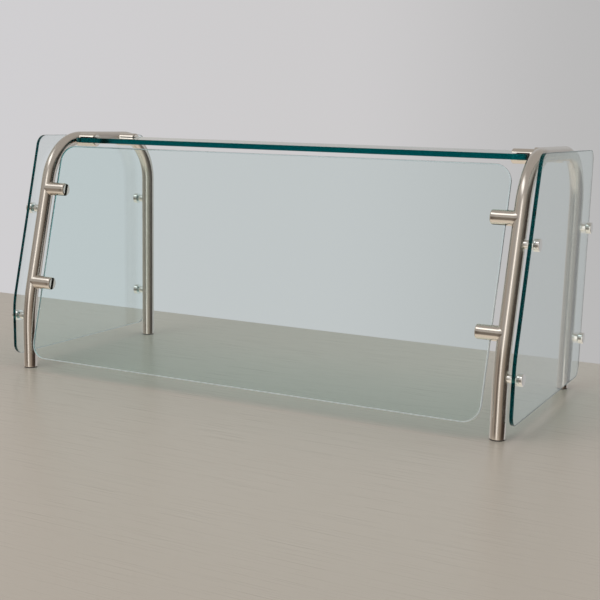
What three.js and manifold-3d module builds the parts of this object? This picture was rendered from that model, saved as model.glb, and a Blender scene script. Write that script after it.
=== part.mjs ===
// Counter-top sneeze guard: two bent-tube end hoops carrying a leaning front glass,
// a horizontal top glass and two side glasses.
// Millimetres. +X is the width, +Y points to the rear (server side), +Z is up.
// The origin is on the counter, at the centre of the footprint.

import * as THREE from 'three';
import { mergeVertices } from 'three/addons/utils/BufferGeometryUtils.js';
import Module from 'manifold-3d';

const wasm = await Module();
wasm.setup();

// ---------- driving dimensions ----------

const GAP = 0.3;                      // clearance kept between pieces that touch

const TUBE_RADIUS = 12.7;             // 1 inch tube
const TUBE_BORE_RADIUS = 10.7;
const HOOP_SPACING = 950;             // tube axis to tube axis, across the width
const LEG_SPACING = 404;              // tube axis to tube axis, front leg to rear leg
const OVERALL_HEIGHT = 457.2;         // 18 inch, counter to top of tube
const LEAN = THREE.MathUtils.degToRad(14.5);
const KNEE_HEIGHT = 118;              // where the upright and leaning axes would cross
const KNEE_RADIUS = 345;
const FRONT_BEND_RADIUS = 104;
const REAR_BEND_RADIUS = 92;
const RAIL_HEIGHT = OVERALL_HEIGHT - TUBE_RADIUS;
const TUBE_SEGMENTS = 24;
const BORE_SEGMENTS = 16;

const FOOT = {
  height: 1.5,                        // pad under the end of the tube
  radius: 12.2,
  stemLength: 14,                     // part that is pushed into the bore
};

const FRONT_GLASS = {
  thickness: 6.35,
  halfWidth: 452,
  bottom: -95,                        // both measured up the lean from the knee point
  top: 323,
  cornerRadius: 31,
  gasket: 1,                          // thickness of the liner round it in a clamp
  gasketSetback: 0.4,                 // from the free end of the clamp
};

const TOP_GLASS = {
  thickness: 9.525,
  halfWidth: 458,
  front: 115,                         // both measured rearward from the front leg axis
  rear: 338,
  cornerRadius: 22,
  drop: 3,                            // middle of the glass, below the axis of the rail
  gasket: 0.5,
  gasketSetback: 9,
};

const TOP_GLASS_HEIGHT = RAIL_HEIGHT - TOP_GLASS.drop;

const SIDE_GLASS = {
  thickness: 6.35,
  offset: 24.8,                       // glass centre plane, outward from the tube axis
  front: -16,                         // upright part of the front edge
  leanMargin: 18,                     // leaning edge, square out from the tube axis
  rear: LEG_SPACING + 16,
  bottom: 25,
  top: 450,
  footCorner: 20,                     // radii of the outline
  rearTopCorner: 20,
  frontTopCorner: 24,
  kneeCorner: 150,
  holeRadius: 4.5,
};

const CLAMP = {
  radius: TUBE_RADIUS,                // the same round stock as the tube
  start: 4,                           // both ends from the tube axis; the tube is cut out
  reach: 48,
  noseRadius: 2.5,                    // rounded rim of the free end
};
const FRONT_CLAMP_UP_LEAN = { lower: 52, upper: 236.5 };
const TOP_CLAMP_Y = { front: 156, rear: 290 };

const STANDOFF_HEIGHT = { lower: 101, upper: 308 };
const SPACER_RADIUS = 7;
const CAP_RADIUS = 10.5;
const CAP_LENGTH = 9;
const CAP_CHAMFER = 1;
const CAP_BACK_CHAMFER = 0.4;         // on the side of the glass
const CAP_BORE_DEPTH = 6;
const STUD_RADIUS = 3;
const STUD_HOLE_RADIUS = 3.3;
const STUD_START = 6;                 // from the tube axis
const STUD_IN_CAP = 5.5;

const OVERCUT = 1;                    // how far a cutter runs past the face that it opens
const CUTTER_REACH = 20;              // half length of the boxes that cut right across a clamp

// Front-most point is the lower front arris of the leaning glass, rear-most the side glass.
const FOREMOST = FRONT_GLASS.bottom * Math.sin(LEAN)
  - (FRONT_GLASS.thickness / 2) * Math.cos(LEAN);
const FRONT_LEG_Y = -(FOREMOST + SIDE_GLASS.rear) / 2;

// ---------- materials ----------

function material(color, roughness, metalness) {
  return new THREE.MeshStandardMaterial({ color, roughness, metalness });
}

const satinSteel = () => material('#b7ada1', 0.38, 1.0);
const polishedSteel = () => material('#d9d9d6', 0.12, 1.0);
const clearGlass = () => material('#c3d6d6', 0.05, 0.0);
const thickGlass = () => material('#a9cfcc', 0.05, 0.0);
const blackRubber = () => material('#141414', 0.8, 0.0);

// ---------- solid helpers ----------

function toSolid(geometry) {
  const bare = geometry.clone();
  bare.deleteAttribute('normal');
  bare.deleteAttribute('uv');
  const merged = mergeVertices(bare, 1e-4);
  return new wasm.Manifold(new wasm.Mesh({
    numProp: 3,
    vertProperties: new Float32Array(merged.attributes.position.array),
    triVerts: new Uint32Array(merged.index.array),
  }));
}

function toGeometry(solid) {
  const mesh = solid.getMesh();
  const geometry = new THREE.BufferGeometry();
  const positions = new Float32Array(mesh.vertProperties);
  geometry.setAttribute('position', new THREE.BufferAttribute(positions, 3));
  geometry.setIndex(new THREE.BufferAttribute(new Uint32Array(mesh.triVerts), 1));
  geometry.computeVertexNormals();
  return geometry;
}

// Round bar along X, from x0 to x1.
function barX(radius, x0, x1, segments = 32) {
  const geometry = new THREE.CylinderGeometry(radius, radius, x1 - x0, segments);
  geometry.rotateZ(Math.PI / 2);
  geometry.translate((x0 + x1) / 2, 0, 0);
  return geometry;
}

function box(x0, x1, y0, y1, z0, z1) {
  const geometry = new THREE.BoxGeometry(x1 - x0, y1 - y0, z1 - z0);
  geometry.translate((x0 + x1) / 2, (y0 + y1) / 2, (z0 + z1) / 2);
  return geometry;
}

// Solid of revolution about Z; the profile is [z, radius] pairs, starting and ending on axis.
function turnedZ(profile, segments) {
  const points = profile.map(([z, radius]) => new THREE.Vector2(radius, z));
  const geometry = new THREE.LatheGeometry(points, segments);
  geometry.rotateX(Math.PI / 2);
  return geometry;
}

// The same about X.
function turnedX(profile, segments) {
  const geometry = turnedZ(profile, segments);
  geometry.rotateY(Math.PI / 2);
  return geometry;
}

// Points of one rounded corner of a 2-D outline, with the tangent at each point.
function cornerArc(before, corner, after, radius, steps) {
  const inward = corner.clone().sub(before).normalize();
  const outward = after.clone().sub(corner).normalize();
  const turn = Math.atan2(inward.cross(outward), inward.dot(outward));
  const setback = radius * Math.tan(Math.abs(turn) / 2);
  const start = corner.clone().addScaledVector(inward, -setback);
  const side = Math.sign(turn);
  const towardCentre = new THREE.Vector2(-inward.y, inward.x).multiplyScalar(side);
  const centre = start.clone().addScaledVector(towardCentre, radius);
  const arc = [];
  for (let i = 0; i <= steps; i += 1) {
    const angle = (turn * i) / steps;
    arc.push({
      point: start.clone().rotateAround(centre, angle),
      tangent: inward.clone().rotateAround(new THREE.Vector2(), angle),
    });
  }
  return arc;
}

function roundedOutline(corners, radii, steps) {
  const points = [];
  corners.forEach((corner, i) => {
    const before = corners[(i + corners.length - 1) % corners.length];
    const after = corners[(i + 1) % corners.length];
    cornerArc(before, corner, after, radii[i], steps).forEach(({ point }) => points.push(point));
  });
  return new THREE.Shape(points);
}

function plate(outline, thickness) {
  const geometry = new THREE.ExtrudeGeometry(outline, {
    depth: thickness,
    bevelEnabled: false,
    curveSegments: 12,
  });
  geometry.translate(0, 0, -thickness / 2);
  return geometry;
}

// ---------- the bent tube ----------

// A planar path given station by station, so that straight runs cost nothing.
class StationPath extends THREE.Curve {
  constructor(stations) {
    super();
    this.stations = stations;
  }

  at(t) {
    return this.stations[Math.round(t * (this.stations.length - 1))];
  }

  getUtoTmapping(u) {
    return u;
  }

  getPoint(t) {
    const { point } = this.at(t);
    return new THREE.Vector3(0, point.x, point.y);
  }

  getTangent(t) {
    const { tangent } = this.at(t);
    return new THREE.Vector3(0, tangent.x, tangent.y);
  }
}

// Axis of the hoop in its own plane: x is rearward from the front leg, y is up.
function hoopStations() {
  const leanTop = (RAIL_HEIGHT - KNEE_HEIGHT) * Math.tan(LEAN);
  const tubeEnd = FOOT.height + GAP;
  const frontFoot = new THREE.Vector2(0, tubeEnd);
  const knee = new THREE.Vector2(0, KNEE_HEIGHT);
  const frontTop = new THREE.Vector2(leanTop, RAIL_HEIGHT);
  const rearTop = new THREE.Vector2(LEG_SPACING, RAIL_HEIGHT);
  const rearFoot = new THREE.Vector2(LEG_SPACING, tubeEnd);
  const up = new THREE.Vector2(0, 1);
  const down = new THREE.Vector2(0, -1);
  return [
    { point: frontFoot, tangent: up },
    ...cornerArc(frontFoot, knee, frontTop, KNEE_RADIUS, 3),
    ...cornerArc(knee, frontTop, rearTop, FRONT_BEND_RADIUS, 8),
    ...cornerArc(frontTop, rearTop, rearFoot, REAR_BEND_RADIUS, 9),
    { point: rearFoot, tangent: down },
  ];
}

const hoopPath = new StationPath(hoopStations());

function sweptRound(outerRadius, boreRadius) {
  const ring = (radius, count) => {
    const points = [];
    for (let i = 0; i < count; i += 1) {
      const angle = (2 * Math.PI * i) / count;
      points.push(new THREE.Vector2(radius * Math.cos(angle), radius * Math.sin(angle)));
    }
    return points;
  };
  const section = new THREE.Shape(ring(outerRadius, TUBE_SEGMENTS));
  if (boreRadius > 0) {
    section.holes.push(new THREE.Path(ring(boreRadius, BORE_SEGMENTS)));
  }
  return new THREE.ExtrudeGeometry(section, {
    steps: hoopPath.stations.length - 1,
    extrudePath: hoopPath,
    bevelEnabled: false,
  });
}

// Height on the hoop -> distance rearward of the tube axis, on the front leg.
function frontLegAt(height) {
  const { stations } = hoopPath;
  for (let i = 1; i < stations.length; i += 1) {
    const low = stations[i - 1].point;
    const high = stations[i].point;
    if (height <= high.y) {
      return low.x + ((high.x - low.x) * (height - low.y)) / (high.y - low.y);
    }
  }
  return LEG_SPACING;
}

// One entry per standoff of a side: where its screw crosses the tube axis.
const standoffs = [];
for (const [level, height] of Object.entries(STANDOFF_HEIGHT)) {
  standoffs.push({ name: `front_${level}`, y: frontLegAt(height), z: height });
  standoffs.push({ name: `rear_${level}`, y: LEG_SPACING, z: height });
}

// outward is +1 for the right hoop, -1 for the left one.
function hoopGeometry(outward) {
  let hoop = toSolid(sweptRound(TUBE_RADIUS, TUBE_BORE_RADIUS));
  for (const { y, z } of standoffs) {
    const hole = barX(STUD_HOLE_RADIUS, 0, 2 * TUBE_RADIUS, 12);
    hole.scale(outward, 1, 1);
    if (outward < 0) {
      hole.index.array.reverse();
    }
    hole.translate(0, y, z);
    hoop = hoop.subtract(toSolid(hole));
  }
  return toGeometry(hoop);
}

// Pad that the tube stands on, with a stem that fills the end of the bore.
function footPlugGeometry() {
  const stemRadius = TUBE_BORE_RADIUS * Math.cos(Math.PI / BORE_SEGMENTS) - GAP;
  const top = FOOT.height + FOOT.stemLength;
  return toGeometry(toSolid(turnedZ([
    [0, 0],
    [0, FOOT.radius],
    [FOOT.height, FOOT.radius],
    [FOOT.height, stemRadius],
    [top, stemRadius],
    [top, 0],
  ], TUBE_SEGMENTS)));
}

// ---------- glass ----------

// Oblong pane in its own XY plane, from low to high in y.
function oblongPane({ halfWidth, cornerRadius, thickness }, low, high, cornerSteps) {
  const corners = [
    new THREE.Vector2(-halfWidth, low),
    new THREE.Vector2(halfWidth, low),
    new THREE.Vector2(halfWidth, high),
    new THREE.Vector2(-halfWidth, high),
  ];
  const radii = corners.map(() => cornerRadius);
  return plate(roundedOutline(corners, radii, cornerSteps), thickness);
}

// Outline in the plane of the hoop, following the tube at an even margin.
function sideGlassGeometry() {
  const { front, leanMargin, rear, bottom, top } = SIDE_GLASS;
  const { footCorner, rearTopCorner, frontTopCorner, kneeCorner } = SIDE_GLASS;
  const edgeAt = (height) => (
    (height - KNEE_HEIGHT) * Math.tan(LEAN) - leanMargin / Math.cos(LEAN)
  );
  const kneeHeight = KNEE_HEIGHT + (front + leanMargin / Math.cos(LEAN)) / Math.tan(LEAN);
  const corners = [
    new THREE.Vector2(front, bottom),
    new THREE.Vector2(rear, bottom),
    new THREE.Vector2(rear, top),
    new THREE.Vector2(edgeAt(top), top),
    new THREE.Vector2(front, kneeHeight),
  ];
  const radii = [footCorner, footCorner, rearTopCorner, frontTopCorner, kneeCorner];
  const outline = roundedOutline(corners, radii, 6);
  for (const { y, z } of standoffs) {
    const hole = new THREE.Path();
    hole.absarc(y, z, SIDE_GLASS.holeRadius, 0, 2 * Math.PI, true);
    outline.holes.push(hole);
  }
  return plate(outline, SIDE_GLASS.thickness);
}

// ---------- clamps ----------

// Local frame of a clamp: +x runs from the tube axis to the free end, y is square to the
// glass and z lies in the glass. saddle is the tube, grown by GAP, in that same frame.
function slotFor(glass) {
  return {
    root: HOOP_SPACING / 2 - glass.halfWidth - glass.gasket - 2 * GAP,
    half: glass.thickness / 2 + glass.gasket + 2 * GAP,
  };
}

function clampBody(saddle, glass) {
  const { radius, start, reach, noseRadius } = CLAMP;
  const { root, half } = slotFor(glass);
  const profile = [[start, 0], [start, radius]];
  for (let i = 0; i <= 3; i += 1) {
    const angle = (Math.PI / 2) * (i / 3);
    profile.push([
      reach - noseRadius * (1 - Math.sin(angle)),
      radius - noseRadius * (1 - Math.cos(angle)),
    ]);
  }
  profile.push([reach, 0]);
  const slotBox = box(root, reach + OVERCUT, -half, half, -CUTTER_REACH, CUTTER_REACH);
  return toGeometry(
    toSolid(turnedX(profile, 28)).subtract(toSolid(saddle)).subtract(toSolid(slotBox)),
  );
}

function clampGasket(glass) {
  const { radius, reach, noseRadius } = CLAMP;
  const inner = glass.thickness / 2 + GAP;
  const outer = inner + glass.gasket;
  const root = slotFor(glass).root + GAP;
  const end = reach - glass.gasketSetback;
  const across = CUTTER_REACH + OVERCUT;
  const channel = box(root, end, -outer, outer, -CUTTER_REACH, CUTTER_REACH);
  const pocket = box(root + glass.gasket, reach + OVERCUT, -inner, inner, -across, across);
  const round = barX(radius - noseRadius / 2, 0, reach + OVERCUT, 24);
  return toGeometry(
    toSolid(channel).subtract(toSolid(pocket)).intersect(toSolid(round)),
  );
}

// ---------- standoffs ----------

// Local frame of a standoff: +x runs outward from the tube axis.
const GLASS_INNER_FACE = SIDE_GLASS.offset - SIDE_GLASS.thickness / 2;
const GLASS_OUTER_FACE = SIDE_GLASS.offset + SIDE_GLASS.thickness / 2;

function spacerGeometry(saddle) {
  const x0 = TUBE_BORE_RADIUS;
  const x1 = GLASS_INNER_FACE - GAP;
  const bore = toSolid(barX(STUD_HOLE_RADIUS, x0 - OVERCUT, x1 + OVERCUT, 16));
  const bar = toSolid(barX(SPACER_RADIUS, x0, x1, 24));
  return toGeometry(bar.subtract(toSolid(saddle)).subtract(bore));
}

function capGeometry() {
  const x0 = GLASS_OUTER_FACE + GAP;
  const x1 = x0 + CAP_LENGTH;
  const cap = turnedX([
    [x0, 0],
    [x0, CAP_RADIUS - CAP_BACK_CHAMFER],
    [x0 + CAP_BACK_CHAMFER, CAP_RADIUS],
    [x1 - CAP_CHAMFER, CAP_RADIUS],
    [x1, CAP_RADIUS - CAP_CHAMFER],
    [x1, 0],
  ], 28);
  const bore = toSolid(barX(STUD_HOLE_RADIUS, x0 - OVERCUT, x0 + CAP_BORE_DEPTH, 16));
  return toGeometry(toSolid(cap).subtract(bore));
}

function studGeometry() {
  return barX(STUD_RADIUS, STUD_START, GLASS_OUTER_FACE + GAP + STUD_IN_CAP, 16);
}

// ---------- assembly ----------

function addMesh(parent, name, geometry, surface) {
  const mesh = new THREE.Mesh(geometry, surface);
  mesh.name = name;
  parent.add(mesh);
  return mesh;
}

function addGroup(parent, name) {
  const child = new THREE.Group();
  child.name = name;
  parent.add(child);
  return child;
}

const group = new THREE.Group();
group.name = 'sneeze_guard';

const sides = [
  { side: 'left', outward: -1 },
  { side: 'right', outward: 1 },
];

// A frame carried by the hoop: x axis, y axis, z axis and the point on the tube axis.
function carriedFrame(parent, name, axes, y, z) {
  const frame = addGroup(parent, name);
  const basis = new THREE.Matrix4().makeBasis(...axes);
  frame.quaternion.setFromRotationMatrix(basis);
  frame.position.set(0, y, z);
  frame.updateMatrix();
  return frame;
}

// The hoop's tube, solid and grown by GAP, seen from a frame that it carries.
function saddleIn(frame) {
  return sweptRound(TUBE_RADIUS + GAP, 0).applyMatrix4(frame.matrix.clone().invert());
}

function addClamp(hoopGroup, name, axes, y, z, glass) {
  const frame = carriedFrame(hoopGroup, `${name}_set`, axes, y, z);
  addMesh(frame, name, clampBody(saddleIn(frame), glass), satinSteel());
  addMesh(frame, `${name}_gasket`, clampGasket(glass), blackRubber());
}

for (const { side, outward } of sides) {
  const frame = addGroup(group, `end_frame_${side}`);
  frame.position.set((outward * HOOP_SPACING) / 2, FRONT_LEG_Y, 0);

  addMesh(frame, `hoop_${side}`, hoopGeometry(outward), satinSteel());

  for (const [end, y] of [['front', 0], ['rear', LEG_SPACING]]) {
    const plug = addMesh(frame, `foot_plug_${side}_${end}`, footPlugGeometry(), blackRubber());
    plug.position.y = y;
  }

  // Clamps reach inward, so their x axis is opposite to outward.
  const inward = new THREE.Vector3(-outward, 0, 0);
  const upLean = new THREE.Vector3(0, Math.sin(LEAN), Math.cos(LEAN));
  const squareToLean = upLean.clone().cross(inward);
  for (const [level, along] of Object.entries(FRONT_CLAMP_UP_LEAN)) {
    const y = along * Math.sin(LEAN);
    const z = KNEE_HEIGHT + along * Math.cos(LEAN);
    const axes = [inward, squareToLean, upLean];
    addClamp(frame, `front_clamp_${side}_${level}`, axes, y, z, FRONT_GLASS);
  }
  const rearward = new THREE.Vector3(0, 1, 0);
  const squareToTop = rearward.clone().cross(inward);
  for (const [end, y] of Object.entries(TOP_CLAMP_Y)) {
    const axes = [inward, squareToTop, rearward];
    addClamp(frame, `top_clamp_${side}_${end}`, axes, y, TOP_GLASS_HEIGHT, TOP_GLASS);
  }

  const sideGlass = addMesh(frame, `side_glass_${side}`, sideGlassGeometry(), clearGlass());
  sideGlass.rotation.set(Math.PI / 2, Math.PI / 2, 0);
  sideGlass.position.set(outward * SIDE_GLASS.offset, 0, 0);

  for (const { name, y, z } of standoffs) {
    const axes = [
      new THREE.Vector3(outward, 0, 0),
      new THREE.Vector3(0, outward, 0),
      new THREE.Vector3(0, 0, 1),
    ];
    const standoff = carriedFrame(frame, `standoff_${side}_${name}_set`, axes, y, z);
    const spacer = spacerGeometry(saddleIn(standoff));
    addMesh(standoff, `standoff_${side}_${name}_spacer`, spacer, polishedSteel());
    addMesh(standoff, `standoff_${side}_${name}_cap`, capGeometry(), polishedSteel());
    addMesh(standoff, `standoff_${side}_${name}_stud`, studGeometry(), polishedSteel());
  }
}

const frontPane = oblongPane(FRONT_GLASS, FRONT_GLASS.bottom, FRONT_GLASS.top, 8);
const frontGlass = addMesh(group, 'front_glass', frontPane, clearGlass());
frontGlass.rotation.x = Math.PI / 2 - LEAN;
frontGlass.position.set(0, FRONT_LEG_Y, KNEE_HEIGHT);

const topPane = oblongPane(TOP_GLASS, TOP_GLASS.front, TOP_GLASS.rear, 5);
const topGlass = addMesh(group, 'top_glass', topPane, thickGlass());
topGlass.position.set(0, FRONT_LEG_Y, TOP_GLASS_HEIGHT);

export default group;
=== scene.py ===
"""Looks of the sneeze guard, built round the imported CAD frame.

Metres, +X width, +Y to the rear, +Z up. Every piece here stands for one CAD node and takes
its place from that node's box. The sizes below repeat the ones that drive the CAD source.
"""

import math

import bmesh
import bpy
from mathutils import Matrix, Vector


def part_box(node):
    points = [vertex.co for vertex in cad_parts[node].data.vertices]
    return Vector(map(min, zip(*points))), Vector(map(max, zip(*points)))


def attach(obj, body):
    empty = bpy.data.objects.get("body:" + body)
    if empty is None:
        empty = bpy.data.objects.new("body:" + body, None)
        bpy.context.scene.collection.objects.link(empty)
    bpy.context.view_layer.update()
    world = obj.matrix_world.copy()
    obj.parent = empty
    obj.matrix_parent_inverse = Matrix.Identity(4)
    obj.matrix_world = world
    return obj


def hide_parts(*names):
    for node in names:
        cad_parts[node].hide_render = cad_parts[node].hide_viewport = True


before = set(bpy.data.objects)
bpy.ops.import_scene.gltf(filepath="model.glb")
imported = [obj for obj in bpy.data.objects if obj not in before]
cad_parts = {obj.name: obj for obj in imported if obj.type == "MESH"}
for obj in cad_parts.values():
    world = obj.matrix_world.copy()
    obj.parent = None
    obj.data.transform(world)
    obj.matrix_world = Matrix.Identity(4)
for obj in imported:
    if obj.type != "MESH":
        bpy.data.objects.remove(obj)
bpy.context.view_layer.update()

MM = 0.001

# ---------- sizes shared with the CAD source ----------

TUBE_RADIUS = 12.7 * MM
TUBE_BORE_RADIUS = 10.7 * MM
LEAN = math.radians(14.5)
KNEE_HEIGHT = 118 * MM
KNEE_RADIUS = 345 * MM
FRONT_BEND_RADIUS = 104 * MM
REAR_BEND_RADIUS = 92 * MM

FOOT_HEIGHT = 1.5 * MM

CLAMP_RADIUS = 12.7 * MM
CLAMP_NOSE = 2.5 * MM
FRONT_GASKET = 1.0 * MM
TOP_GASKET = 0.5 * MM
GAP = 0.3 * MM

SPACER_RADIUS = 7 * MM
CAP_RADIUS = 10.5 * MM
CAP_LENGTH = 9 * MM
STUD_RADIUS = 3 * MM
GLASS_HOLE_RADIUS = 4.5 * MM

FRONT_GLASS_THICKNESS = 6.35 * MM
FRONT_GLASS_CORNER = 31 * MM
TOP_GLASS_CORNER = 22 * MM
SIDE_GLASS_MARGIN = 18 * MM    # its leaning edge, square out from the tube axis
SIDE_GLASS_CORNER = 20 * MM    # at both feet and at the rear top
SIDE_GLASS_FRONT_CORNER = 24 * MM
SIDE_GLASS_KNEE = 150 * MM

# ---------- sizes of the looks only ----------

LIP = 0.5 * MM            # rounding of a hoop's ends, outside
BORE_LIP = 0.3 * MM       # and in the bore
ARRIS = 0.7 * MM          # ground rounding of a glass edge
FRONT_ARRIS = 2.0 * MM    # the front glass is rounded further, and left matt
SIDE_ARRIS = 1.1 * MM     # the side glasses' arrises are wider, and polished clear
SIDE_ARRIS_RIM = 0.3      # how much those arrises look like the flat of the edge
ARRIS_STEPS = 4
WELD = 0.8 * MM           # dressed weld round a clamp, on the tube
WELD_START = 2 * MM       # least distance of a clamp's root from the tube axis
BURIED = 0.5 * MM         # how much thinner a clamp's hidden end is
CLAMP_EDGE = 0.3 * MM     # rounding of the edges of its slot
JAW_STEPS = 24            # facets round each jaw of a clamp
SIDE_STEPS = 12           # facets round each side between the jaws
SPACER_IN_TUBE = 0.3 * MM
FACE_GAP = 0.1 * MM       # between a spacer or a cap and the glass
STUD_IN_BORE = 3 * MM
STUD_IN_CAP = 5 * MM
THREAD_DEPTH = 0.5 * MM

COUNTER_HALF_WIDTH = 4.0
COUNTER_END = 0.468       # just behind the guard

SIDES = {"left": -1, "right": 1}
LEVELS = ("lower", "upper")
ENDS = ("front", "rear")

# ---------- node helpers ----------


class Nodes:
    """A node tree with short calls for adding and linking nodes."""

    def __init__(self, owner):
        owner.use_nodes = True
        self.tree = owner.node_tree
        self.tree.nodes.clear()

    def add(self, kind, inputs=None, **settings):
        node = self.tree.nodes.new(kind)
        for name, value in settings.items():
            setattr(node, name, value)
        for name, value in (inputs or {}).items():
            self.feed(node.inputs[name], value)
        return node

    def feed(self, socket, value):
        if isinstance(value, bpy.types.NodeSocket):
            self.tree.links.new(value, socket)
        else:
            socket.default_value = value

    def math(self, operation, a, b=0.0, c=0.0):
        node = self.add("ShaderNodeMath", {0: a, 1: b, 2: c}, operation=operation)
        return node.outputs[0]

    def remap(self, value, from_min, from_max, to_min, to_max, smooth=False):
        node = self.add(
            "ShaderNodeMapRange",
            {"Value": value, 1: from_min, 2: from_max, 3: to_min, 4: to_max},
            interpolation_type="SMOOTHSTEP" if smooth else "LINEAR",
        )
        return node.outputs[0]

    def mix(self, factor, a, b):
        node = self.add("ShaderNodeMix", data_type="RGBA")
        self.feed(node.inputs["Factor"], factor)
        self.feed(node.inputs[6], a)
        self.feed(node.inputs[7], b)
        return node.outputs[2]

    def noise(self, vector, scale, detail=2.0, roughness=0.5):
        node = self.add(
            "ShaderNodeTexNoise",
            {"Vector": vector, "Scale": scale, "Detail": detail, "Roughness": roughness},
        )
        return node.outputs["Fac"]

    def stretched(self, vector, scale):
        node = self.add("ShaderNodeMapping", {"Vector": vector, "Scale": scale})
        return node.outputs[0]

    def bump(self, height, strength, distance, normal=None):
        inputs = {"Height": height, "Strength": strength, "Distance": distance}
        if normal is not None:
            inputs["Normal"] = normal
        return self.add("ShaderNodeBump", inputs).outputs[0]

    def mirrored(self):
        """1 for a ray that has been reflected by a shiny surface, else 0."""
        path = self.add("ShaderNodeLightPath")
        return self.math("GREATER_THAN", path.outputs["Glossy Depth"], 0.5)


# ---------- materials ----------


def steel(name, colour_low, colour_high, roughness, lines, smudge):
    """Brushed steel. The UV map runs round the piece in U and along it in V, in metres."""
    material = bpy.data.materials.new(name)
    n = Nodes(material)
    uv = n.add("ShaderNodeUVMap", uv_map="UVMap").outputs[0]
    place = n.add("ShaderNodeTexCoord").outputs["Object"]

    fine = n.noise(n.stretched(uv, (2600, 40, 1)), 1.0, detail=3.0, roughness=0.6)
    broad = n.noise(n.stretched(uv, (420, 9, 1)), 1.0, detail=2.0)
    cloud = n.noise(place, 22.0, detail=3.0, roughness=0.55)

    grain = n.math("ADD", n.math("MULTIPLY", fine, 0.6), n.math("MULTIPLY", broad, 0.4))
    tone = n.remap(n.math("ADD", grain, n.math("MULTIPLY", cloud, 0.5)), 0.45, 1.05, 0, 1)
    colour = n.mix(tone, (*colour_low, 1), (*colour_high, 1))
    low, high = roughness
    rough = n.math(
        "ADD",
        n.remap(grain, 0.3, 0.7, low, high),
        n.remap(cloud, 0.45, 0.7, 0, smudge, smooth=True),
    )
    shader = n.add(
        "ShaderNodeBsdfPrincipled",
        {
            "Base Color": colour,
            "Metallic": 1.0,
            "Roughness": rough,
            "Normal": n.bump(grain, lines, 0.02 * MM),
        },
    )
    n.add("ShaderNodeOutputMaterial", {"Surface": shader.outputs[0]})
    return material


def glass(name, absorbed, tint, edge, rim_roughness, frost):
    """Float glass. absorbed is how fast each colour dies inside it, per metre.

    The attribute "rim" is 1 on the ground edge and 0 on the faces. edge colours the rim, and
    frost is how much of the rim is matt at the foot of the pane; higher up it fades to 0.15 of
    that.
    The matt foot is partly the ground edge and partly a painted highlight: its pale diffuse rim
    stands in for the light that the bottom edge catches, and the clear top for the shade it lacks.
    """
    material = bpy.data.materials.new(name)
    n = Nodes(material)
    place = n.add("ShaderNodeTexCoord").outputs["Object"]
    rim = n.add("ShaderNodeAttribute", attribute_name="rim").outputs["Fac"]

    wave = n.noise(place, 5.0, detail=1.0)
    grind = n.noise(n.stretched(place, (900, 900, 900)), 1.0, detail=2.0)
    film = n.noise(place, 9.0, detail=4.0, roughness=0.6)
    rough = n.math(
        "ADD",
        n.math("MULTIPLY", rim, n.remap(grind, 0.3, 0.7, *rim_roughness)),
        n.remap(film, 0.55, 0.8, 0.0, 0.012, smooth=True),
    )
    height = n.add("ShaderNodeSeparateXYZ", {0: place}).outputs["Y"]
    # painted highlight: the rim is matt and pale at the foot of the pane and clear higher up,
    # standing in for light caught by the bottom edge
    frost_with_painted_highlight = n.math("MULTIPLY", rim, n.remap(height, -0.02, 0.06, frost, frost * 0.15, smooth=True))
    wavy = n.bump(wave, 0.25, 0.5 * MM)
    ground = n.bump(n.math("MULTIPLY", grind, rim), 0.2, 0.02 * MM, wavy)
    body = n.add(
        "ShaderNodeBsdfPrincipled",
        {
            "Base Color": n.mix(rim, (1, 1, 1, 1), (*edge, 1)),
            "Metallic": 0.0,
            "IOR": 1.52,
            "Roughness": rough,
            "Transmission Weight": n.math("SUBTRACT", 1.0, frost_with_painted_highlight),
            "Specular Tint": n.mix(rim, (1, 1, 1, 1), (*edge, 1)),
            "Normal": ground,
        },
    )
    lamps = n.add("ShaderNodeBsdfTransparent", {"Color": (*tint, 1)})
    path = n.add("ShaderNodeLightPath")
    surface = n.add(
        "ShaderNodeMixShader",
        {0: path.outputs["Is Shadow Ray"], 1: body.outputs[0], 2: lamps.outputs[0]},
    )
    most = max(absorbed)
    kept = [1 - a / most for a in absorbed]
    inside = n.add("ShaderNodeVolumeAbsorption", {"Color": (*kept, 1), "Density": most})
    n.add(
        "ShaderNodeOutputMaterial",
        {"Surface": surface.outputs[0], "Volume": inside.outputs[0]},
    )
    return material


def rubber(name):
    material = bpy.data.materials.new(name)
    n = Nodes(material)
    place = n.add("ShaderNodeTexCoord").outputs["Object"]
    grain = n.noise(place, 2600.0, detail=3.0)
    dust = n.noise(place, 160.0, detail=4.0)
    shader = n.add(
        "ShaderNodeBsdfPrincipled",
        {
            "Base Color": n.mix(
                n.remap(dust, 0.5, 0.8, 0, 1), (0.008, 0.008, 0.008, 1), (0.03, 0.03, 0.029, 1)
            ),
            "Roughness": n.remap(grain, 0.3, 0.7, 0.5, 0.72),
            "Normal": n.bump(grain, 0.4, 0.05 * MM),
        },
    )
    n.add("ShaderNodeOutputMaterial", {"Surface": shader.outputs[0]})
    return material


SATIN = steel(
    "satin_steel_tube", (0.71, 0.66, 0.61), (0.80, 0.755, 0.70), (0.15, 0.23), 0.18, 0.05
)
TURNED = steel(
    "satin_steel_turned", (0.72, 0.67, 0.61), (0.82, 0.77, 0.71), (0.11, 0.18), 0.15, 0.05
)
POLISHED = steel(
    "polished_steel", (0.86, 0.855, 0.84), (0.95, 0.945, 0.93), (0.02, 0.05), 0.06, 0.02
)
SEAMED = glass(
    "clear_glass_seamed",
    (18.0, 4.6, 4.6),
    (0.93, 0.985, 0.98),
    (0.90, 0.98, 0.99),
    (0.25, 0.35),
    0.85,
)
CLEAR = glass(
    "clear_glass_polished",
    (11.0, 3.4, 3.2),
    (0.93, 0.985, 0.98),
    (0.08, 0.24, 0.24),
    (0.15, 0.25),
    0.0,
)
THICK = glass(
    "thick_glass_polished",
    (22.0, 7.4, 6.8),
    (0.90, 0.97, 0.965),
    (0.03, 0.62, 0.60),
    (0.15, 0.25),
    0.0,
)
RUBBER = rubber("black_rubber_liner")

# ---------- mesh helpers ----------


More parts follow.
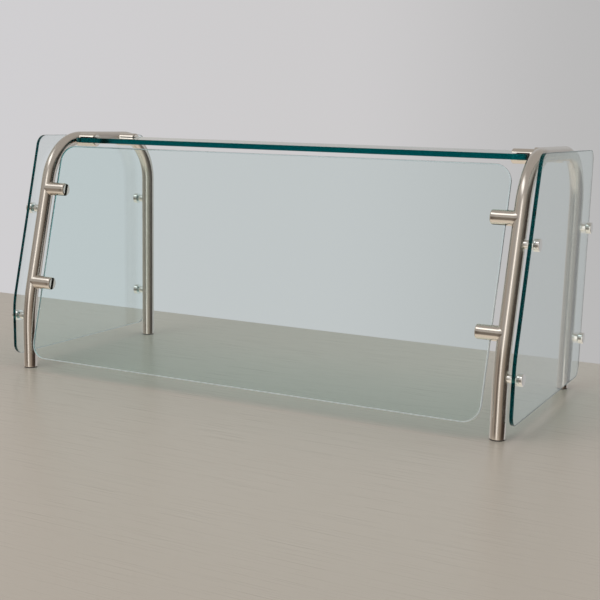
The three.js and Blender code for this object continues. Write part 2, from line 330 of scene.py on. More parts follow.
def place_piece(name, bm, matrix, material, node):
    """Turns a bmesh into the piece that stands for a CAD node."""
    bmesh.ops.recalc_face_normals(bm, faces=bm.faces)
    mesh = bpy.data.meshes.new(name)
    bm.to_mesh(mesh)
    bm.free()
    mesh.materials.append(material)
    piece = bpy.data.objects.new(name, mesh)
    bpy.context.scene.collection.objects.link(piece)
    piece.matrix_world = matrix
    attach(piece, "root")
    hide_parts(node)
    return piece


def bevel_marked(piece, width):
    """Rounds the edges that carry a bevel weight."""
    modifier = piece.modifiers.new("rounding", "BEVEL")
    modifier.width = width
    modifier.segments = 2
    modifier.limit_method = "WEIGHT"


def arc_points(before, corner, after, radius, step):
    """One rounded corner of a 2-D path as (point, tangent) pairs, a pair every step radians."""
    into = (corner - before).normalized()
    out = (after - corner).normalized()
    turn = math.atan2(into.x * out.y - into.y * out.x, into.dot(out))
    side = math.copysign(1, turn)
    start = corner - into * (radius * math.tan(abs(turn) / 2))
    centre = start + Vector((-into.y, into.x)) * radius * side
    count = max(2, math.ceil(abs(turn) / step))
    pairs = []
    for i in range(count + 1):
        spin = Matrix.Rotation(turn * i / count, 2)
        pairs.append((centre + spin @ (start - centre), spin @ into))
    return pairs


def bridge(bm, rings, closed_rings=True, uv=None, lengths=None, girths=None):
    """Quads between consecutive rings of vertices, with UVs in metres if asked for."""
    for j in range(len(rings) - 1):
        low = rings[j]
        high = rings[j + 1]
        count = len(low)
        for i in range(count if closed_rings else count - 1):
            k = (i + 1) % count
            face = bm.faces.new((low[i], low[k], high[k], high[i]))
            face.smooth = True
            if uv is not None:
                right = girths[i + 1]
                corners = (
                    (girths[i], lengths[j]),
                    (right, lengths[j]),
                    (right, lengths[j + 1]),
                    (girths[i], lengths[j + 1]),
                )
                for loop, corner in zip(face.loops, corners):
                    loop[uv].uv = corner


def turned(bm, profile, segments=64, start_at=None):
    """Closed solid of revolution about X. profile is (x, radius) pairs, none of them on the axis.

    start_at(row, angle, x, radius) gives the x of each vertex, for an end shaped to a tube.
    """
    uv = bm.loops.layers.uv.new("UVMap")
    rings = []
    for row, (x, radius) in enumerate(profile):
        ring = []
        for i in range(segments):
            angle = 2 * math.pi * i / segments
            at = x if start_at is None else start_at(row, angle, x, radius)
            ring.append(bm.verts.new((at, radius * math.cos(angle), radius * math.sin(angle))))
        rings.append(ring)
    lengths = [0.0]
    for (x0, r0), (x1, r1) in zip(profile, profile[1:]):
        lengths.append(lengths[-1] + math.hypot(x1 - x0, r1 - r0))
    widest = max(radius for _, radius in profile)
    girths = [2 * math.pi * widest * i / segments for i in range(segments + 1)]
    bridge(bm, rings, uv=uv, lengths=lengths, girths=girths)
    for ring in (rings[0], rings[-1]):
        face = bm.faces.new(ring)
        for loop in face.loops:
            loop[uv].uv = (loop.vert.co.y, loop.vert.co.z)


def rounded_edge(x, radius, size, steps, outward):
    """Profile pairs of a rounded rim that ends at x, going outward (+1) or starting there (-1)."""
    pairs = []
    for i in range(steps + 1):
        angle = math.pi / 2 * i / steps
        pairs.append(
            (
                x - outward * size * (1 - math.sin(angle)),
                radius - size * (1 - math.cos(angle)),
            )
        )
    return pairs if outward > 0 else pairs[::-1]


def across(node):
    """Middle, lowest and highest corner of a CAD node's box."""
    low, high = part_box(node)
    return (low + high) / 2, low, high


# ---------- hoops ----------


def hoop_path(low, high):
    """Axis of the tube in its own plane, as (point, tangent) pairs of (y, z)."""
    front = low.y + TUBE_RADIUS
    rear = high.y - TUBE_RADIUS
    rail = high.z - TUBE_RADIUS
    foot = Vector((front, low.z))
    knee = Vector((front, KNEE_HEIGHT))
    front_top = Vector((front + (rail - KNEE_HEIGHT) * math.tan(LEAN), rail))
    rear_top = Vector((rear, rail))
    rear_foot = Vector((rear, low.z))
    step = math.radians(2.5)
    turns = [
        *arc_points(foot, knee, front_top, KNEE_RADIUS, step),
        *arc_points(knee, front_top, rear_top, FRONT_BEND_RADIUS, step),
        *arc_points(front_top, rear_top, rear_foot, REAR_BEND_RADIUS, step),
    ]
    coarse = [(foot, Vector((0, 1))), *turns, (rear_foot, Vector((0, -1)))]
    path = [coarse[0]]
    for (p0, t0), (p1, t1) in zip(coarse, coarse[1:]):
        run = (p1 - p0).length
        if t0.dot(t1) > 0.99999:
            pieces = max(1, math.ceil(run / (20 * MM)))
            for i in range(1, pieces):
                path.append((p0.lerp(p1, i / pieces), t0))
        path.append((p1, t1))
    return path


def hoop_mesh(path, segments=72):
    """Bent tube with its bore, its lips rounded at both feet."""
    bm = bmesh.new()
    uv = bm.loops.layers.uv.new("UVMap")

    def ring_at(point, tangent, radius, shift):
        normal = Vector((-tangent.y, tangent.x))
        ring = []
        for i in range(segments):
            angle = 2 * math.pi * i / segments
            flat = point + tangent * shift + normal * (radius * math.cos(angle))
            ring.append(bm.verts.new((radius * math.sin(angle), flat.x, flat.y)))
        return ring

    rings = []
    lengths = []

    def add(station, radius, shift, length):
        rings.append(ring_at(*station, radius, shift))
        lengths.append(length)

    first, last = path[0], path[-1]
    total = [0.0]
    for (p0, _), (p1, _) in zip(path, path[1:]):
        total.append(total[-1] + (p1 - p0).length)

    middle = (TUBE_RADIUS + TUBE_BORE_RADIUS) / 2
    add(first, middle, 0, 0)
    for turn in (30, 60, 90):
        spin = math.radians(turn)
        add(first, TUBE_RADIUS - LIP * (1 - math.sin(spin)), LIP * (1 - math.cos(spin)), 0)
    for station, length in zip(path[1:-1], total[1:-1]):
        add(station, TUBE_RADIUS, 0, length)
    for turn in (90, 60, 30):
        spin = math.radians(turn)
        add(last, TUBE_RADIUS - LIP * (1 - math.sin(spin)), -LIP * (1 - math.cos(spin)), total[-1])
    add(last, middle, 0, total[-1])
    add(last, TUBE_BORE_RADIUS + BORE_LIP, 0, total[-1])
    add(last, TUBE_BORE_RADIUS, -BORE_LIP, total[-1])
    for station, length in zip(path[-2:0:-1], total[-2:0:-1]):
        add(station, TUBE_BORE_RADIUS, 0, length)
    add(first, TUBE_BORE_RADIUS, BORE_LIP, 0)
    add(first, TUBE_BORE_RADIUS + BORE_LIP, 0, 0)
    rings.append(rings[0])
    lengths.append(0)

    girths = [2 * math.pi * TUBE_RADIUS * i / segments for i in range(segments + 1)]
    bridge(bm, rings, uv=uv, lengths=lengths, girths=girths)
    return bm


def build_hoop(side):
    node = f"hoop_{side}"
    middle, low, high = across(node)
    bm = hoop_mesh(hoop_path(low, high))
    place = Matrix.Translation((middle.x, 0, 0))
    place_piece(f"{node}_tube", bm, place, SATIN, node)


def build_foot(side, end):
    """Black pad under the end of a tube, with a ribbed stem in the bore."""
    node = f"foot_plug_{side}_{end}"
    middle, low, high = across(node)
    radius = (high.x - low.x) / 2
    length = high.z - low.z
    rib_radius = TUBE_BORE_RADIUS - GAP
    stem_radius = rib_radius - 0.5 * MM
    rim = 0.3 * MM
    top = FOOT_HEIGHT + 0.25 * MM
    profile = [
        *rounded_edge(0, radius, rim, 3, -1),
        *rounded_edge(top, radius, rim, 3, 1),
        (top, rib_radius),
    ]
    first_rib = 2 * MM
    rib_pitch = 3.4 * MM
    for rib in range(3):
        start = top + first_rib + rib_pitch * rib
        profile += [
            (start, stem_radius),
            (start + 1.6 * MM, rib_radius),
            (start + 1.9 * MM, rib_radius - 0.1 * MM),
            (start + 2.0 * MM, stem_radius),
        ]
    profile += rounded_edge(length, stem_radius, 0.8 * MM, 3, 1)
    bm = bmesh.new()
    turned(bm, profile)
    place = Matrix.Translation((middle.x, middle.y, low.z)) @ Matrix.Rotation(-math.pi / 2, 4, "Y")
    place_piece(f"{node}_moulded", bm, place, RUBBER, node)


# ---------- clamps ----------


def clamp_angles(jaw):
    """Angles round a clamp: each jaw from -jaw to jaw about its middle, then a side."""
    angles = []
    for centre in (0, math.pi):
        for i in range(JAW_STEPS + 1):
            angles.append(centre + jaw * (2 * i / JAW_STEPS - 1))
        span = math.pi - 2 * jaw
        for i in range(1, SIDE_STEPS):
            angles.append(centre + jaw + span * i / SIDE_STEPS)
    return angles


def close_hidden_end(bm, ring):
    """Hollow end that lies in the tube: straight across between points of equal y."""
    apex = JAW_STEPS // 2
    for i in range(JAW_STEPS + SIDE_STEPS):
        corners = (
            ring[(apex + i) % len(ring)],
            ring[(apex + i + 1) % len(ring)],
            ring[apex - i - 1],
            ring[apex - i],
        )
        bm.faces.new(list(dict.fromkeys(corners)))


def add_jaws(bm, uv, at_root, girths, root, reach, half):
    """Both jaws beyond the root of the slot. Gives the pairs of vertices along sharp edges."""
    nose_start = reach - CLAMP_NOSE
    stations = [(root + (nose_start - root) * s, CLAMP_RADIUS) for s in (0.34, 0.67, 1.0)]
    nose_steps = 6
    for i in range(1, nose_steps + 1):
        spin = math.pi / 2 * i / nose_steps
        stations.append(
            (
                reach - CLAMP_NOSE * (1 - math.sin(spin)),
                CLAMP_RADIUS - CLAMP_NOSE * (1 - math.cos(spin)),
            )
        )
    sharp = []
    for centre, first in zip((0, math.pi), (0, JAW_STEPS + SIDE_STEPS)):
        strips = [at_root[first : first + JAW_STEPS + 1]]
        for x, r in stations:
            spread = math.acos(half / r)
            strip = []
            for i in range(JAW_STEPS + 1):
                a = centre + spread * (2 * i / JAW_STEPS - 1)
                strip.append(bm.verts.new((x, r * math.cos(a), r * math.sin(a))))
            strips.append(strip)
        run = [root, *[x for x, _ in stations]]
        arc = girths[first : first + JAW_STEPS + 1]
        bridge(bm, strips, False, uv, run, arc)
        for low, high in zip(strips, strips[1:]):
            bm.faces.new((low[-1], low[0], high[0], high[-1]))
            sharp += [(low[0], high[0]), (low[-1], high[-1])]
        bm.faces.new(strips[-1])
        sharp.append((strips[-1][0], strips[-1][-1]))
        sharp.append((at_root[first], at_root[first + JAW_STEPS]))
    return sharp


def close_slot_root(bm, at_root):
    """Root face of the slot, between the jaws. Gives the pairs of vertices along its sides."""
    side_a = at_root[JAW_STEPS : JAW_STEPS + SIDE_STEPS + 1]
    side_b = [*at_root[2 * JAW_STEPS + SIDE_STEPS :], at_root[0]]
    bm.faces.new([*side_a, *side_b])
    return list(zip(side_a, side_a[1:])) + list(zip(side_b, side_b[1:]))


def clamp_mesh(reach, root, half, tube_offset):
    """Round clamp, in its own frame: X from the tube axis to the free end, Y square to the glass.

    It grows out of a dressed weld on the tube, and a slot of half thickness half, open at the
    free end, starts at root. The tube runs along Z, with its axis at y = tube_offset.
    """
    bm = bmesh.new()
    uv = bm.loops.layers.uv.new("UVMap")
    radius = CLAMP_RADIUS
    angles = clamp_angles(math.acos(half / radius))

    def on_tube(angle, r):
        y = r * math.cos(angle) - tube_offset
        return math.sqrt(max(TUBE_RADIUS**2 - y**2, WELD_START**2))

    def weld(angle):
        return WELD * math.sin(angle) ** 2

    def ring(x_at, radius_at):
        return [
            bm.verts.new((x_at(a), radius_at(a) * math.cos(a), radius_at(a) * math.sin(a)))
            for a in angles
        ]

    hidden_radius = radius - BURIED
    hidden_depth = 0.6 * MM
    rings = [ring(lambda a: on_tube(a, hidden_radius) - hidden_depth, lambda a: hidden_radius)]
    lengths = [0.0]
    weld_steps = 4
    for i in range(weld_steps + 1):
        spread = 1 - math.sin(math.pi / 2 * i / weld_steps)
        rise = 1 - math.cos(math.pi / 2 * i / weld_steps)
        rings.append(
            ring(
                lambda a, g=spread, s=rise: on_tube(a, radius + weld(a) * g) + weld(a) * s,
                lambda a, g=spread: radius + weld(a) * g,
            )
        )
        lengths.append(lengths[-1] + WELD * 0.4)
    base = TUBE_RADIUS + WELD
    for share in (0.35, 0.7, 1.0):
        rings.append(
            ring(
                lambda a, s=share: (on_tube(a, radius) + weld(a)) * (1 - s) + root * s,
                lambda a: radius,
            )
        )
        lengths.append(base + (root - base) * share)
    girths = [radius * (a - angles[0]) for a in angles]
    girths.append(girths[0] + 2 * math.pi * radius)
    bridge(bm, rings, uv=uv, lengths=lengths, girths=girths)
    close_hidden_end(bm, rings[0])

    weight = bm.edges.layers.float.new("bevel_weight_edge")
    sharp = add_jaws(bm, uv, rings[-1], girths, root, reach, half)
    sharp += close_slot_root(bm, rings[-1])
    for a, b in sharp:
        edge = bm.edges.get((a, b))
        if edge is not None:
            edge[weight] = 1.0
            edge.smooth = False
    return bm


def gasket_mesh(reach, root, inner, outer, limit):
    """U-shaped liner of a slot, its two lips rounded, cut to the round of the clamp."""
    bm = bmesh.new()
    lip = (outer - inner) / 2
    inside_root = root + (outer - inner)
    inside = 0.5 * MM     # size of the rounded corners of the U, inside and outside
    outside = 0.6 * MM
    cut = 0.15 * MM       # how far the middle of such a corner is from both faces
    end_cut = 0.25 * MM   # chamfer of both ends
    section = [(inside_root, -inner + inside), (inside_root, inner - inside)]
    section += [(inside_root + cut, inner - cut), (inside_root + inside, inner)]

    def lip_arc(sign):
        centre_y = sign * (inner + outer) / 2
        pairs = []
        for i in range(7):
            angle = math.pi * (i / 6) - math.pi / 2
            pairs.append(
                (reach - lip + lip * math.cos(angle), centre_y + sign * lip * math.sin(angle))
            )
        return pairs if sign > 0 else pairs[::-1]

    section += lip_arc(1)
    section += [(root + outside, outer), (root + cut, outer - cut)]
    section += [(root, outer - outside), (root, -outer + outside)]
    section += [(root + cut, -outer + cut), (root + outside, -outer)]
    section += lip_arc(-1)
    section += [(inside_root + inside, -inner), (inside_root + cut, -inner + cut)]

    rings = []
    for end in (-1, 1):
        for shrink in (end_cut, 0.0) if end < 0 else (0.0, end_cut):
            ring = []
            for x, y in section:
                depth = math.sqrt(limit**2 - y**2) - shrink
                ring.append(bm.verts.new((x, y, end * depth)))
            rings.append(ring)
    bridge(bm, rings)
    for ring in (rings[0], rings[-1]):
        bm.faces.new(ring)
    return bm


def build_clamp(node, side, lies_flat, thickness):
    """A clamp and its liner, on the tube of that side. lies_flat is True for the top glass."""
    outward = SIDES[side]
    middle, low, high = across(node)
    axis_x = across(f"hoop_{side}")[0].x
    free = low.x if outward > 0 else high.x
    reach = abs(free - axis_x)
    glass_low, glass_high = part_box("top_glass" if lies_flat else "front_glass")
    glass_half = (glass_high.x - glass_low.x) / 2
    gasket = TOP_GASKET if lies_flat else FRONT_GASKET
    root = abs(axis_x) - glass_half - gasket - 2 * GAP
    half = thickness / 2 + gasket + 2 * GAP

    inward = Vector((-outward, 0, 0))
    along = Vector((0, 1, 0)) if lies_flat else Vector((0, math.sin(LEAN), math.cos(LEAN)))
    square = along.cross(inward)
    turn = Matrix((inward, square, along)).transposed().to_4x4()
    place = Matrix.Translation((axis_x, middle.y, middle.z)) @ turn
    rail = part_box(f"hoop_{side}")[1].z - TUBE_RADIUS
    tube_offset = (rail - middle.z) * outward if lies_flat else 0.0

    bm = clamp_mesh(reach, root, half, tube_offset)
    body = place_piece(f"{node}_body", bm, place, TURNED, node)
    bevel_marked(body, CLAMP_EDGE)
    liner_low, liner_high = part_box(f"{node}_gasket")
    liner_reach = max(abs(liner_low.x - axis_x), abs(liner_high.x - axis_x))
    play = GAP * 0.4
    inner = thickness / 2 + play
    limit = CLAMP_RADIUS - CLAMP_NOSE / 2
    liner = gasket_mesh(liner_reach, root + GAP, inner, half - play, limit)
    place_piece(f"{node}_liner", liner, place, RUBBER, f"{node}_gasket")


# ---------- glass ----------


def outline_points(corners, radii):
    """Rounded outline as (point, outward normal) pairs. Corners run anticlockwise."""
    pairs = []
    for i, corner in enumerate(corners):
        before = corners[i - 1]
        after = corners[(i + 1) % len(corners)]
        for point, tangent in arc_points(before, corner, after, radii[i], math.radians(3)):
            pairs.append((point, Vector((tangent.y, -tangent.x))))
    return pairs


def circle_points(centre, radius, segments=40):
    """A hole's outline, with normals into the hole, run clockwise."""
    pairs = []
    for i in range(segments):
        angle = -2 * math.pi * i / segments
        out = Vector((math.cos(angle), math.sin(angle)))
        pairs.append((centre + out * radius, -out))
    return pairs


def pane_mesh(outline, holes, thickness, arris=ARRIS, arris_rim=1.0):
    """Flat pane in its own XY plane with rounded arrises.

    The attribute "rim" is 1 on the flat of an edge, arris_rim on its arrises and 0 on the faces.
    """
    bm = bmesh.new()
    rim = bm.faces.layers.float.new("rim")
    half = thickness / 2
    faces_top = []
    faces_bottom = []
    for pairs in (outline, *holes):
        rings = []
        for sign in (1, -1):
            steps = range(ARRIS_STEPS + 1)
            for i in steps if sign > 0 else reversed(steps):
                spin = math.pi / 2 * i / ARRIS_STEPS
                inset = arris * (1 - math.sin(spin))
                z = sign * (half - arris * (1 - math.cos(spin)))
                rings.append([bm.verts.new((*(p - normal * inset), z)) for p, normal in pairs])
        before = len(bm.faces)
        bridge(bm, rings)
        bm.faces.ensure_lookup_table()
        for i, face in enumerate(bm.faces[before:]):
            strip = i // len(pairs)
            face[rim] = 1.0 if strip == ARRIS_STEPS else arris_rim
        faces_top.append(rings[0])
        faces_bottom.append(rings[-1])
    for loops in (faces_top, faces_bottom):
        edges = []
        for ring in loops:
            for a, b in zip(ring, [*ring[1:], ring[0]]):
                edges.append(bm.edges.get((a, b)))
        if len(loops) == 1:
            bm.faces.new(loops[0]).smooth = False
        else:
            made = bmesh.ops.triangle_fill(bm, edges=edges, use_beauty=True)
            for item in made["geom"]:
                if isinstance(item, bmesh.types.BMFace):
                    item.smooth = False
    return bm


def rectangle(low, high):
    """Corners of an upright rectangle, anticlockwise."""
    return [
        Vector((low[0], low[1])),
        Vector((high[0], low[1])),
        Vector((high[0], high[1])),
        Vector((low[0], high[1])),
    ]


def build_front_glass():
    node = "front_glass"
    middle, low, high = across(node)
    half_width = (high.x - low.x) / 2
    length = (high.z - low.z - FRONT_GLASS_THICKNESS * math.sin(LEAN)) / math.cos(LEAN)
    corners = rectangle((-half_width, -length / 2), (half_width, length / 2))
    outline = outline_points(corners, [FRONT_GLASS_CORNER] * 4)
    bm = pane_mesh(outline, [], FRONT_GLASS_THICKNESS, FRONT_ARRIS)
    place = Matrix.Translation(middle) @ Matrix.Rotation(math.pi / 2 - LEAN, 4, "X")
    place_piece(f"{node}_pane", bm, place, SEAMED, node)


def build_top_glass():
    node = "top_glass"
    middle, low, high = across(node)
    corners = rectangle(low - middle, high - middle)
    outline = outline_points(corners, [TOP_GLASS_CORNER] * 4)
    bm = pane_mesh(outline, [], high.z - low.z)
    place = Matrix.Translation(middle)
    place_piece(f"{node}_pane", bm, place, THICK, node)


def build_side_glass(side):
    """The pane's own X is rearward and its own Y is up; its front edge leans with the tube."""
    node = f"side_glass_{side}"
    middle, low, high = across(node)
    front_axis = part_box(f"hoop_{side}")[0].y + TUBE_RADIUS
    margin = SIDE_GLASS_MARGIN / math.cos(LEAN)

    def edge_at(height):
        return front_axis + (height - KNEE_HEIGHT) * math.tan(LEAN) - margin

    knee = KNEE_HEIGHT + (low.y - front_axis + margin) / math.tan(LEAN)
    corners = [
        Vector((low.y, low.z)),
        Vector((high.y, low.z)),
        Vector((high.y, high.z)),
        Vector((edge_at(high.z), high.z)),
        Vector((low.y, knee)),
    ]
    radii = [*[SIDE_GLASS_CORNER] * 3, SIDE_GLASS_FRONT_CORNER, SIDE_GLASS_KNEE]
    holes = []
    for end in ENDS:
        for level in LEVELS:
            cap = across(f"standoff_{side}_{end}_{level}_cap")[0]
            holes.append(circle_points(Vector((cap.y, cap.z)), GLASS_HOLE_RADIUS))
    outline = outline_points(corners, radii)
    bm = pane_mesh(outline, holes, high.x - low.x, SIDE_ARRIS, SIDE_ARRIS_RIM)
    columns = Matrix(((0, 0, 1), (1, 0, 0), (0, 1, 0))).to_4x4()
    place = Matrix.Translation((middle.x, 0, 0)) @ columns
    place_piece(f"{node}_pane", bm, place, CLEAR, node)


# ---------- standoffs ----------


def stud_mesh(x0, x1, pitch=1 * MM, segments=20, steps=5):
    """Threaded stud along X: a helical ridge on a round core."""
    bm = bmesh.new()
    uv = bm.loops.layers.uv.new("UVMap")
    count = round((x1 - x0) / pitch * steps)
    rings = []
    for row in range(count + 1):
        x = x0 + (x1 - x0) * row / count
        fade = min(1.0, (x - x0) / pitch, (x1 - x) / pitch)
        ring = []
        for i in range(segments):
            phase = ((x - x0) / pitch - i / segments) % 1.0
            ridge = abs(2 * phase - 1) * fade
            radius = STUD_RADIUS - THREAD_DEPTH * (1 - ridge)
            angle = 2 * math.pi * i / segments
            ring.append(bm.verts.new((x, radius * math.cos(angle), radius * math.sin(angle))))
        rings.append(ring)
    lengths = [(x1 - x0) * row / count for row in range(count + 1)]
    girths = [2 * math.pi * STUD_RADIUS * i / segments for i in range(segments + 1)]
    bridge(bm, rings, uv=uv, lengths=lengths, girths=girths)
    for ring in (rings[0], rings[-1]):
        bm.faces.new(ring)
    return bm


def build_standoff(side, end, level):
    outward = SIDES[side]
    name = f"standoff_{side}_{end}_{level}"
    axis_x = across(f"hoop_{side}")[0].x
    middle = across(f"{name}_cap")[0]
    lean = LEAN if end == "front" and middle.z > KNEE_HEIGHT else 0.0
    turn = Matrix.Rotation(0 if outward > 0 else math.pi, 4, "Z")
    place = Matrix.Translation((axis_x, middle.y, middle.z)) @ turn
    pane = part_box(f"side_glass_{side}")
    inner_face, outer_face = sorted((abs(pane[0].x - axis_x), abs(pane[1].x - axis_x)))

    def on_tube(angle, radius):
        """How far out the tube's surface is under a point of the spacer's rim."""
        y = radius * math.cos(angle) * outward
        z = radius * math.sin(angle)
        off_axis = y * math.cos(lean) - z * math.sin(lean)
        return math.sqrt(TUBE_RADIUS**2 - off_axis**2)

    def shaped_start(row, angle, x, radius):
        """The first two rows of the spacer follow the tube, and start just inside it."""
        return on_tube(angle, radius) - SPACER_IN_TUBE + x if row < 2 else x

    def polished(kind, bm, finish):
        node = f"{name}_{kind}"
        place_piece(f"{node}_{finish}", bm, place, POLISHED, node)

    spacer_end = inner_face - FACE_GAP
    rim = rounded_edge(spacer_end, SPACER_RADIUS, 0.5 * MM, 3, 1)
    profile = [(0, SPACER_RADIUS), (0.4 * MM, SPACER_RADIUS), *rim]
    spacer = bmesh.new()
    turned(spacer, profile, 48, shaped_start)
    polished("spacer", spacer, "turned")

    x0 = outer_face + FACE_GAP
    x1 = outer_face + GAP + CAP_LENGTH
    crown = 0.25 * MM
    profile = [
        *rounded_edge(x0, CAP_RADIUS, 0.4 * MM, 3, -1),
        (x1 - 2.4 * MM, CAP_RADIUS),
        *rounded_edge(x1 - crown, CAP_RADIUS, 1.0 * MM, 5, 1),
        (x1 - 0.08 * MM, CAP_RADIUS * 0.6),
        (x1, CAP_RADIUS * 0.25),
    ]
    cap = bmesh.new()
    turned(cap, profile, 72)
    polished("cap", cap, "turned")

    stud = stud_mesh(TUBE_BORE_RADIUS - STUD_IN_BORE, outer_face + STUD_IN_CAP)
    polished("stud", stud, "threaded")


# ---------- the guard ----------

top_low, top_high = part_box("top_glass")
for side in SIDES:
    build_hoop(side)
    for end in ENDS:
        build_foot(side, end)
    for level in LEVELS:
        build_clamp(f"front_clamp_{side}_{level}", side, False, FRONT_GLASS_THICKNESS)
    for end in ENDS:
        build_clamp(f"top_clamp_{side}_{end}", side, True, top_high.z - top_low.z)
    build_side_glass(side)
    for end in ENDS:
        for level in LEVELS:
            build_standoff(side, end, level)
build_front_glass()
build_top_glass()

# ---------- studio ----------


def build_floor():
    """Plain pale counter top. It ends behind the guard, where the plain backdrop shows.

    Mirrored rays go through it, also the ones that pass a pane first, and see the studio.
    """
    bm = bmesh.new()
    corners = rectangle(
        (-COUNTER_HALF_WIDTH, -COUNTER_HALF_WIDTH), (COUNTER_HALF_WIDTH, COUNTER_END)
    )
    bm.faces.new([bm.verts.new((*corner, 0)) for corner in corners])
    mesh = bpy.data.meshes.new("counter_top")
    bm.to_mesh(mesh)
    bm.free()
    material = bpy.data.materials.new("pale_counter")
    n = Nodes(material)
    place = n.add("ShaderNodeTexCoord").outputs["Object"]
    brushed = n.noise(n.stretched(place, (6, 900, 1)), 1.0, detail=3.0)
    shader = n.add(
        "ShaderNodeBsdfPrincipled",
        {
            "Base Color": n.mix(brushed, (0.45, 0.405, 0.345, 1), (0.475, 0.43, 0.37, 1)),
            "Roughness": n.remap(brushed, 0.3, 0.7, 0.26, 0.34),
            "Specular IOR Level": 0.35,
        },
    )
    gone = n.add("ShaderNodeBsdfTransparent")
    surface = n.add(
        "ShaderNodeMixShader", {0: n.mirrored(), 1: shader.outputs[0], 2: gone.outputs[0]}
    )
    n.add("ShaderNodeOutputMaterial", {"Surface": surface.outputs[0]})
    mesh.materials.append(material)
    floor = bpy.data.objects.new("counter_top", mesh)
    bpy.context.scene.collection.objects.link(floor)


def ramp(n, value, stops):
    """Colour ramp from (position, colour) pairs."""
    node = n.add("ShaderNodeValToRGB", {"Fac": value})
    node.color_ramp.interpolation = "EASE"
    elements = node.color_ramp.elements
    while len(elements) > 1:
        elements.remove(elements[-1])
    for i, (position, colour) in enumerate(stops):
        element = elements[0] if i == 0 else elements.new(position)
        element.position = position
        element.color = (*colour, 1)
    return node.outputs[0]


def plain_backdrop(n, x):
    """What the camera sees, and all rays that have not been mirrored."""
    sideways = n.math("MULTIPLY_ADD", x, 0.5, 0.5)
    return ramp(
        n,
        sideways,
        [
            (0.15, (0.632, 0.622, 0.636)),
            (0.28, (0.612, 0.600, 0.606)),
            (0.40, (0.490, 0.485, 0.484)),
            (0.60, (0.50, 0.50, 0.50)),
        ],
    )


def studio_pattern(n, x, y, z):
    """What shiny surfaces mirror: around is level with the guard, wall is higher up.

    Both ramps go round by azimuth, in degrees from -Y towards +X. Elevations are in degrees too.
    """
    azimuth = n.math("ARCTAN2", x, n.math("MULTIPLY", y, -1.0))
    turn = n.math("MULTIPLY_ADD", azimuth, 0.5 / math.pi, 0.5)

    def at(degrees):
        return degrees / 360 + 0.5

    around = ramp(
        n,
        turn,
        [
            (at(-180), (0.46, 0.46, 0.46)),
            (at(-125), (0.58, 0.55, 0.51)),
            (at(-98), (0.46, 0.42, 0.38)),
            (at(-66), (0.30, 0.26, 0.22)),
            (at(-48), (0.38, 0.33, 0.28)),
            (at(-28), (0.12, 0.095, 0.078)),
            (at(-18), (0.17, 0.145, 0.12)),
            (at(-8), (0.46, 0.42, 0.37)),
            (at(4), (1.40, 1.33, 1.25)),
            (at(17), (0.46, 0.41, 0.36)),
            (at(50), (0.30, 0.25, 0.20)),
            (at(80), (0.06, 0.042, 0.032)),
            (at(118), (0.03, 0.022, 0.017)),
            (at(131), (0.12, 0.10, 0.09)),
            (at(139), (0.66, 0.65, 0.65)),
            (at(147), (0.62, 0.61, 0.61)),
            (at(160), (0.44, 0.435, 0.43)),
            (at(180), (0.46, 0.46, 0.46)),
        ],
    )
    wall = ramp(
        n,
        turn,
        [
            (at(-180), (0.50, 0.50, 0.50)),
            (at(-100), (0.50, 0.47, 0.43)),
            (at(-64), (0.42, 0.385, 0.34)),
            (at(-46), (0.44, 0.42, 0.39)),
            (at(-26), (0.40, 0.38, 0.36)),
            (at(-9), (0.60, 0.57, 0.53)),
            (at(5), (1.80, 1.73, 1.64)),
            (at(17), (0.55, 0.52, 0.48)),
            (at(56), (0.32, 0.29, 0.25)),
            (at(86), (0.06, 0.048, 0.04)),
            (at(120), (0.05, 0.04, 0.034)),
            (at(140), (0.34, 0.325, 0.31)),
            (at(163), (0.36, 0.35, 0.34)),
            (at(180), (0.50, 0.50, 0.50)),
        ],
    )
    ceiling = (0.42, 0.395, 0.365, 1)
    bank_colour = (1.9, 1.87, 1.83, 1)
    elevation = n.math("MULTIPLY", n.math("ARCSINE", z), 180 / math.pi)
    front = n.math(
        "MULTIPLY",
        n.remap(y, -0.35, 0.0, 1.0, 0.0, smooth=True),
        n.remap(x, -0.22, -0.08, 1.0, 0.0, smooth=True),
    )
    right = n.remap(x, 0.35, 0.80, 0.0, 1.0, smooth=True)
    under = n.mix(right, (0.78, 0.70, 0.60, 1), (0.16, 0.13, 0.105, 1))
    above = n.remap(elevation, 5, 14, 0.0, 1.0, smooth=True)
    high = n.remap(elevation, 24, 44, 0.0, 1.0, smooth=True)
    bank_low = n.remap(elevation, 36, 50, 0.0, 1.0, smooth=True)
    bank_high = n.remap(elevation, 52, 66, 1.0, 0.0, smooth=True)
    bank = n.math("MULTIPLY", n.math("MULTIPLY", bank_low, bank_high), front)
    below = n.remap(elevation, -20, -42, 0.0, 1.0, smooth=True)

    pattern = n.mix(above, around, wall)
    pattern = n.mix(high, pattern, ceiling)
    pattern = n.mix(bank, pattern, bank_colour)
    return n.mix(below, pattern, under)


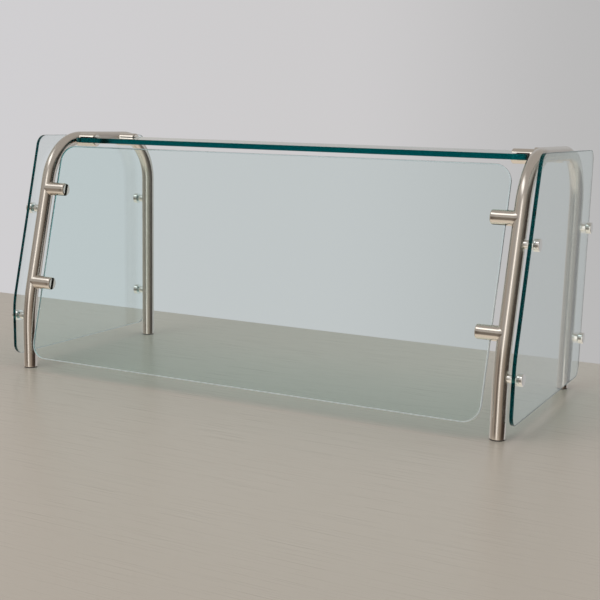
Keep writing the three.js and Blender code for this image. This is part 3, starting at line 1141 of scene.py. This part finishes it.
def build_world():
    """Plain pale backdrop; shiny surfaces mirror a studio with a light bank and darker ends."""
    world = bpy.data.worlds.new("studio")
    bpy.context.scene.world = world
    n = Nodes(world)
    direction = n.add("ShaderNodeTexCoord").outputs["Generated"]
    x, y, z = n.add("ShaderNodeSeparateXYZ", {0: direction}).outputs
    colour = n.mix(n.mirrored(), plain_backdrop(n, x), studio_pattern(n, x, y, z))
    shade = n.add("ShaderNodeBackground", {"Color": colour})
    n.add("ShaderNodeOutputWorld", {"Surface": shade.outputs[0]})


def build_light(name, location, target, size, power, colour):
    lamp = bpy.data.lights.new(name, "AREA")
    lamp.shape = "RECTANGLE"
    lamp.size, lamp.size_y = size
    lamp.energy = power
    lamp.color = colour
    light = bpy.data.objects.new(name, lamp)
    light.location = location
    toward = Vector(target) - Vector(location)
    light.rotation_euler = toward.to_track_quat("-Z", "Y").to_euler()
    light.visible_camera = False
    light.visible_glossy = False
    light.visible_transmission = False
    bpy.context.scene.collection.objects.link(light)


def build_camera():
    """At the viewing angle of the work order's picture."""
    eye = (0.95874, -1.85127, 0.49491)
    yaw = math.radians(26.884)
    pitch = math.radians(10.801)
    roll = math.radians(1.406)
    ahead = Vector(
        (
            -math.sin(yaw) * math.cos(pitch),
            math.cos(yaw) * math.cos(pitch),
            -math.sin(pitch),
        )
    )
    level = Vector((math.cos(yaw), math.sin(yaw), 0))
    upright = level.cross(ahead)
    right = level * math.cos(roll) + upright * math.sin(roll)
    up = upright * math.cos(roll) - level * math.sin(roll)
    data = bpy.data.cameras.new("camera")
    data.sensor_width = 36
    data.lens = 66.25
    data.shift_x = -0.0011
    data.shift_y = 0.0477
    camera = bpy.data.objects.new("camera", data)
    turn = Matrix((right, up, -ahead)).transposed().to_4x4()
    camera.matrix_world = Matrix.Translation(eye) @ turn
    bpy.context.scene.collection.objects.link(camera)
    bpy.context.scene.camera = camera


build_floor()
build_world()
build_light("softbox_key", (-1.2, -2.4, 2.6), (0, 0, 0.2), (2.2, 1.6), 34, (1.0, 0.98, 0.96))
build_light("softbox_top", (0.6, 0.4, 3.0), (0, 0, 0), (2.4, 2.4), 26, (1.0, 0.99, 0.98))
build_camera()

scene = bpy.context.scene
scene.view_settings.view_transform = "Standard"
scene.view_settings.look = "None"
scene.cycles.max_bounces = 64
scene.cycles.glossy_bounces = 64
scene.cycles.transmission_bounces = 64
scene.cycles.transparent_max_bounces = 32
scene.cycles.diffuse_bounces = 3
